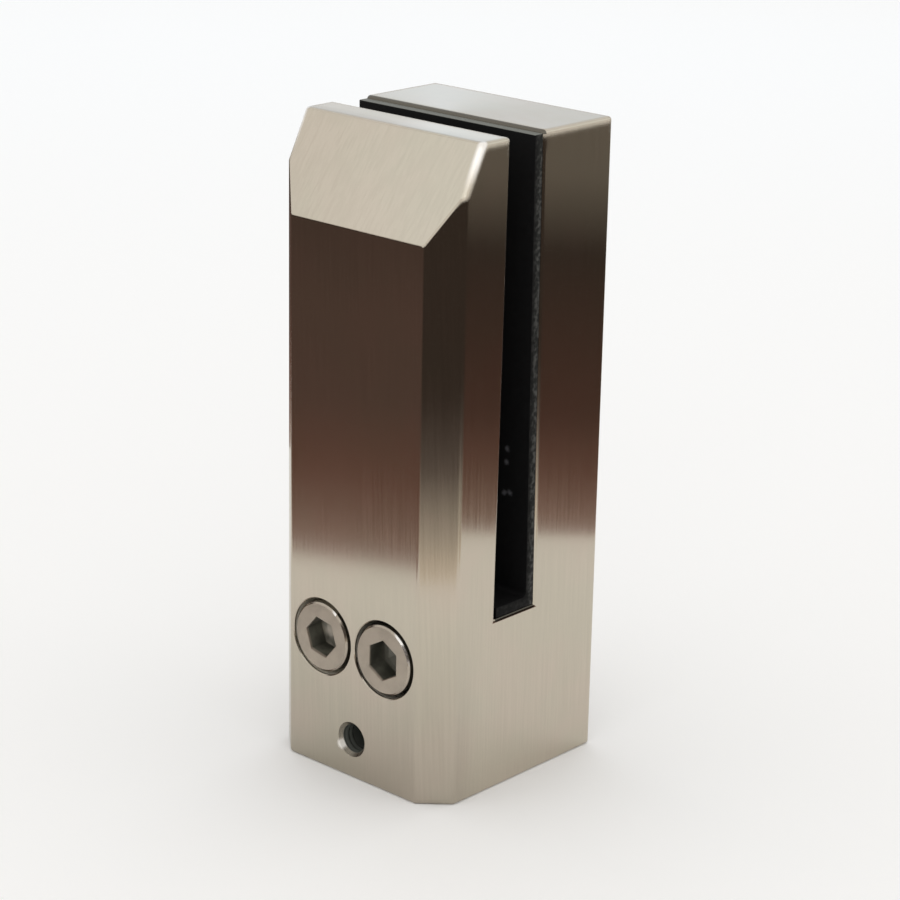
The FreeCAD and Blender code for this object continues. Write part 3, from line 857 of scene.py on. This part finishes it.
def make_levelling_screw():
    """Set screw with a thread along its whole length, a socket and a cup point."""
    low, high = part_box("levelling_screw")
    front, tip = low.y, high.y
    bm = bmesh.new()
    cut_thread(bm, SET_CORE, SET_CREST, SET_PITCH, front + SET_RIM, tip - SET_RIM, SET_CHAMFER)
    face_radius = SET_CORE - SET_RIM
    _, face_rim = make_socket_face(bm, face_radius, front, SET_SOCKET_FLATS, SET_SOCKET_DEPTH)
    core_rim = grow(bm, face_rim, SET_CORE / face_radius, SET_RIM)
    far_rim = grow(bm, core_rim, 1.0, tip - front - SET_RIM - CUP_LENGTH)
    cup_rim = grow(bm, far_rim, CUP_RIM, CUP_LENGTH)
    cup_lip = grow(bm, cup_rim, CUP_LIP, 0.0)
    close_to_point(bm, cup_lip, -CUP_DEPTH)
    move_to_axis(bm, "levelling_screw")
    finish_piece(
        "threaded_levelling_screw", bm, set_screw_steel, "levelling", "levelling_screw",
        SCREW_SHARP_DEGREES,
    )


make_levelling_screw()

# %% [markdown]
# Looking into the tapped hole, one sees the first turns of its thread. A four-cornered outline is spun into
# a coil that sits in the wall of the hole, only as far in as light reaches.

# %% Thread in the mouth of the tapped hole
RIDGE_FOOT, RIDGE_CREST, RIDGE_DEPTH, RIDGE_START = 3.32 * MM, 3.05 * MM, 6.0 * MM, 0.8 * MM
RIDGE_CREST_START, RIDGE_CREST_END = 0.45, 0.55


def make_hole_thread():
    """Inner thread in the first few millimetres of the tapped hole."""
    start = FRONT + RIDGE_START
    bm = bmesh.new()
    outline = (
        (RIDGE_FOOT, 0.0),
        (RIDGE_CREST, RIDGE_CREST_START),
        (RIDGE_CREST, RIDGE_CREST_END),
        (RIDGE_FOOT, 1.0),
    )
    verts = [bm.verts.new((radius, start + share * SET_PITCH, 0)) for radius, share in outline]
    wind(bm, [bm.faces.new(verts)], SET_PITCH, int((RIDGE_DEPTH - 2 * SET_PITCH) / SET_PITCH))
    move_to_axis(bm, "levelling_screw")
    finish_piece("tapped_hole_thread", bm, block_steel, "block")


make_hole_thread()

# %% [markdown]
# The liner is a strip of black rubber, bent to an L and cut off with a knife. Its faces are black and dull,
# its cut ends are grey and rough, with painted shade that deepens towards the pane, its top end is painted
# paler, as light from above would make it, and specks of lint stick to it. Which part is a cut end is read
# from the direction that the surface faces. The slot's wall side leans, and the strip leans with it.

# %% Material of the liner
LEAN_MM, LEAN_HEIGHT_MM = 1.3, 106.5
SLOT_LEAN = LEAN_MM / LEAN_HEIGHT_MM
RUBBER_GRAINS, GRAIN_DETAIL, SAW_MARKS, SAW_DETAIL = 1800.0, 3.0, 1100.0, 5.0
SAW_LOW, SAW_HIGH, END_FACING_LOW, END_FACING_HIGH = 0.42, 0.66, 0.8, 0.95
CUT_RUBBER, CUT_SHADE = ((0.016, 0.0165, 0.0155), (0.07, 0.07, 0.066)), (0.006, 0.006, 0.006)
SHADE_START, SHADE_END, SHADE_MOST = 0.6 * MM, 2.3 * MM, 0.85
RUBBER_SKIN, TOP_END_LIGHT = ((0.003, 0.003, 0.0034), (0.005, 0.005, 0.0055)), (0.19, 0.195, 0.18)
TOP_CUT = 0.1 * MM
LINT, LINT_FRAY, LINT_CORE, LINT_EDGE, LINT_MOST = (0.085, 0.085, 0.095), 1.2 * MM, 0.7 * MM, 1.6 * MM, 0.8
LINT_PLACES = ((19.5, -24.1, 44.6), (19.4, -24.1, 41.4), (18.8, -24.0, 34.3), (20.5, -24.0, 34.6))
RUBBER_SMOOTHEST, RUBBER_ROUGHEST, RUBBER_SHINE = 0.62, 0.8, 0.12
RUBBER_BUMP, RUBBER_DEPTH = 0.35, 0.1 * MM


def add_lint(tree, colour, place, fraying):
    """Frayed grey specks at a few places on the rubber."""
    for speck in LINT_PLACES:
        gap = add_node(tree, "ShaderNodeVectorMath", operation="DISTANCE")
        tree.links.new(place, gap.inputs[0])
        gap.inputs[1].default_value = Vector(speck) * MM
        frayed = plus(tree, gap.outputs["Value"], times(tree, fraying, LINT_FRAY))
        on_speck = range_node(tree, frayed, LINT_CORE, LINT_EDGE, LINT_MOST, 0.0)
        colour = mix_colour(tree, on_speck, colour, LINT)
    return colour


def make_rubber():
    """Black rubber with grey cut ends, painted shade and light, lint and a fine grain."""
    material, tree, shader = new_material("liner_rubber")
    coordinates = add_node(tree, "ShaderNodeTexCoord").outputs
    place = coordinates["Object"]
    _, y, z = split(tree, place)
    low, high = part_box("slot_liner")
    grain = noise_node(tree, place, RUBBER_GRAINS, GRAIN_DETAIL)
    saw = noise_node(tree, place, SAW_MARKS, SAW_DETAIL)

    leaning = times(tree, minus(tree, z, low.z), SLOT_LEAN)
    from_wall = minus(tree, minus(tree, high.y, y), leaning)
    cut = mix_colour(tree, range_node(tree, saw, SAW_LOW, SAW_HIGH), *CUT_RUBBER)
    # Painted shade on the cut ends, deeper towards the pane.
    shade = range_node(tree, from_wall, SHADE_START, SHADE_END, 0.0, SHADE_MOST)
    cut_end = mix_colour(tree, shade, cut, CUT_SHADE)
    skin = mix_colour(tree, spread(tree, grain), *RUBBER_SKIN)
    # Painted light on the top end.
    top_end_lit = mix_colour(tree, over(tree, z, high.z - TOP_CUT), skin, TOP_END_LIGHT)
    facing_across = absolute(tree, split(tree, coordinates["Normal"])["X"])
    on_end = range_node(tree, facing_across, END_FACING_LOW, END_FACING_HIGH)
    plain = mix_colour(tree, on_end, top_end_lit, cut_end)
    tree.links.new(add_lint(tree, plain, place, saw), shader.inputs["Base Color"])

    tree.links.new(spread(tree, grain, RUBBER_SMOOTHEST, RUBBER_ROUGHEST), shader.inputs["Roughness"])
    shader.inputs["Specular IOR Level"].default_value = RUBBER_SHINE
    tree.links.new(bump_node(tree, saw, RUBBER_BUMP, RUBBER_DEPTH), shader.inputs["Normal"])
    return material


rubber = make_rubber()
print("material", rubber.name)

# %% [markdown]
# The strip's outline is the L of its solid. It is drawn as six corners, the inner corner is rounded by a
# bevel, and the outline is extruded across the slot. A last small bevel softens the cut edges, which catch
# the light.

# %% Liner
LINER_THICKNESS, LINER_BEND, LINER_BEND_STEPS = 2.4 * MM, 1.2 * MM, 5
CUT_EDGE_BEVEL, CUT_EDGE_ANGLE = 0.18 * MM, 0.9


def make_liner():
    """L-shaped rubber strip in the place of its solid."""
    low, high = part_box("slot_liner")
    top_back = high.y - SLOT_LEAN * (high.z - low.z)
    corners = [
        (high.y, low.z),
        (top_back, high.z),
        (top_back - LINER_THICKNESS, high.z),
        (high.y - (SLOT_LEAN + 1) * LINER_THICKNESS, low.z + LINER_THICKNESS),
        (low.y, low.z + LINER_THICKNESS),
        (low.y, low.z),
    ]
    bm = bmesh.new()
    verts = [bm.verts.new((low.x, y, z)) for y, z in corners]
    bm.faces.new(verts)
    inner_corner = verts[3]
    soften(bm, [inner_corner], LINER_BEND, LINER_BEND_STEPS, "VERTICES")
    made = bmesh.ops.extrude_face_region(bm, geom=list(bm.faces))["geom"]
    moved = [part for part in made if isinstance(part, bmesh.types.BMVert)]
    bmesh.ops.translate(bm, vec=(high.x - low.x, 0, 0), verts=moved)
    cut_edges = [edge for edge in bm.edges if edge.is_manifold and edge.calc_face_angle() > CUT_EDGE_ANGLE]
    soften(bm, cut_edges, CUT_EDGE_BEVEL)
    finish_piece("rubber_liner", bm, rubber, "block", "slot_liner")


make_liner()

# %% [markdown]
# The block stands on a plain pale floor. A floor that is nearly white in the picture would throw too much
# light back at the block. So Light Path tells the material what kind of ray has met the floor: it is palest
# for the camera and in mirror images, and a little darker for the light that it scatters.

# %% Floor
FLOOR_HALF, FLOOR_LIT, FLOOR_SHOWN = 6.0, (0.88, 0.88, 0.88), (0.985, 0.985, 0.985)
FLOOR_ROUGHNESS, FLOOR_SHINE = 0.9, 0.1


def make_floor():
    """Large pale floor at the block's base."""
    material, tree, shader = new_material("pale_floor")
    ray = add_node(tree, "ShaderNodeLightPath").outputs
    mirrored = plus(tree, ray["Is Glossy Ray"], ray["Is Transmission Ray"])
    shown = math_node(tree, "ADD", ray["Is Camera Ray"], mirrored, clamp=True)
    tree.links.new(mix_colour(tree, shown, FLOOR_LIT, FLOOR_SHOWN), shader.inputs["Base Color"])
    shader.inputs["Roughness"].default_value = FLOOR_ROUGHNESS
    shader.inputs["Specular IOR Level"].default_value = FLOOR_SHINE
    bm = bmesh.new()
    level = Matrix.Translation((0, 0, cad_low.z))
    bmesh.ops.create_grid(bm, x_segments=1, y_segments=1, size=FLOOR_HALF, matrix=level)
    floor = object_from("floor", bm, material)
    print("floor lies at", round(cad_low.z / MM, 2), "mm")


make_floor()

# %% [markdown]
# A metal block mirrors what stands round it: near its foot the pale floor shows in the steel, and higher up
# the room. Photographers of metal put dark cards just outside the picture, so that the metal gets its
# contrast from them. Here five brown cards stand round the block, each with bands of colour that change
# from its foot to its head. They are only there for mirror reflections and don't shade or colour anything
# else.

# %% Cards
PALE, GREY_BEIGE, OLIVE = (0.82, 0.74, 0.62), (0.46, 0.415, 0.37), (0.12, 0.10, 0.09)
RUST, RED_BROWN, BROWN = (0.31, 0.205, 0.175), (0.155, 0.083, 0.065), (0.09, 0.048, 0.038)
WARM_BROWN, DARK_BROWN, BEIGE = (0.11, 0.072, 0.061), (0.048, 0.037, 0.031), (0.175, 0.155, 0.135)
LEFT_BANDS = ((0.0, RUST), (0.025, RED_BROWN), (0.045, WARM_BROWN), (0.07, WARM_BROWN), (0.13, DARK_BROWN))
RIGHT_BANDS = (
    (0.0, RUST), (0.019, RED_BROWN), (0.034, BROWN), (0.082, DARK_BROWN), (0.103, BEIGE), (0.13, BEIGE),
)
FRONT_BANDS = ((0.0, PALE), (0.013, GREY_BEIGE), (0.031, OLIVE), (0.05, DARK_BROWN), (0.13, DARK_BROWN))


def make_card_glow(name, bands, height):
    """Weak glow whose colour changes up the card, band by band."""
    material, tree, shader = new_material(name)
    tree.nodes.remove(shader)
    place = add_node(tree, "ShaderNodeTexCoord").outputs["Object"]
    share = range_node(tree, split(tree, place)["Z"], cad_low.z, cad_low.z + height, smooth=False)
    ramp = add_node(tree, "ShaderNodeValToRGB")
    stops = ramp.color_ramp.elements
    stops.remove(stops[1])
    for band, (rise, colour) in enumerate(bands):
        stop = stops[0] if band == 0 else stops.new(rise / height)
        stop.position, stop.color = rise / height, (*colour, 1.0)
    tree.links.new(share, ramp.inputs["Fac"])
    glow = add_node(tree, "ShaderNodeEmission")
    tree.links.new(ramp.outputs["Color"], glow.inputs["Color"])
    tree.links.new(glow.outputs[0], tree.nodes["Material Output"].inputs["Surface"])
    return material


def make_card(name, turn_degrees, distance, half_width, bands):
    """Upright card that faces the block, seen in mirror reflections alone."""
    height = bands[-1][0]
    bm = bmesh.new()
    bmesh.ops.create_grid(bm, x_segments=1, y_segments=1, size=0.5)
    bmesh.ops.scale(bm, vec=(2 * half_width, height, 1), verts=bm.verts)
    bmesh.ops.rotate(bm, cent=(0, 0, 0), matrix=Matrix.Rotation(math.pi / 2, 3, "X"), verts=bm.verts)
    bmesh.ops.translate(bm, vec=(0, -distance, height / 2), verts=bm.verts)
    round_block = Matrix.Rotation(math.radians(turn_degrees), 3, "Z")
    bmesh.ops.rotate(bm, cent=(0, 0, 0), matrix=round_block, verts=bm.verts)
    bmesh.ops.translate(bm, vec=(0, cad_low.y / 2, cad_low.z), verts=bm.verts)
    card = object_from(name, bm, make_card_glow(name, bands, height))
    for ray in ("camera", "diffuse", "transmission", "volume_scatter", "shadow"):
        setattr(card, f"visible_{ray}", False)
    print(name, "stands", round(distance, 3), "m away")


make_card("card_left", turn_degrees=-24.2, distance=0.152, half_width=0.40, bands=LEFT_BANDS)
make_card("card_right", turn_degrees=138.4, distance=0.175, half_width=0.11, bands=RIGHT_BANDS)
make_card("card_front", turn_degrees=38.3, distance=0.165, half_width=0.16, bands=FRONT_BANDS)
make_card("card_back", turn_degrees=235.0, distance=0.22, half_width=0.16, bands=LEFT_BANDS)
make_card("card_corner", turn_degrees=94.0, distance=0.17, half_width=0.055, bands=FRONT_BANDS)

# %% [markdown]
# The light is a plain pale room with two soft lamps. The world gives an even, slightly warm light. A window
# light from behind on the left is cooler and shows in the two top faces. A large, weak softbox beside and
# above the camera gives the small glints on the rims of the screws and on the rounded edges, together with
# the painted highlights there. It is weak so that the facet and the tops, which mirror it in other views,
# don't clip to white.

# %% World and lamps
ROOM_COLOUR, ROOM_STRENGTH = (1.0, 0.985, 0.96, 1.0), 0.94
LAMP_AIM = Vector((0, -0.026, 0.04))

world = bpy.data.worlds.new("pale_room")
bpy.context.scene.world = world
world.use_nodes = True
room = world.node_tree.nodes["Background"].inputs
room["Color"].default_value = ROOM_COLOUR
room["Strength"].default_value = ROOM_STRENGTH


def make_softbox(name, direction, distance, width, height, watts, colour):
    """Area lamp in a direction from the block, aimed at it."""
    lamp = bpy.data.lights.new(name, "AREA")
    lamp.shape = "RECTANGLE"
    lamp.size, lamp.size_y = width, height
    lamp.energy = watts
    lamp.color = colour
    softbox = bpy.data.objects.new(name, lamp)
    away = Vector(direction).normalized()
    facing_block = (-away).to_track_quat("-Z", "Y").to_matrix().to_4x4()
    softbox.matrix_world = Matrix.Translation(LAMP_AIM + away * distance) @ facing_block
    bpy.context.scene.collection.objects.link(softbox)
    print(name, "gives", watts, "W")


make_softbox(
    "window_light", direction=(-0.643, 0.699, 0.5), distance=1.2, width=1.2, height=0.7,
    watts=0.8, colour=(0.35, 0.65, 1.0),
)
make_softbox(
    "front_softbox", direction=(0.618, -0.663, 0.423), distance=2.0, width=1.29, height=0.89,
    watts=2.0, colour=(1.0, 0.98, 0.95),
)

# %% [markdown]
# Colours are shown as they are, with no film curve.

# %% View
bpy.context.scene.view_settings.view_transform = "Standard"
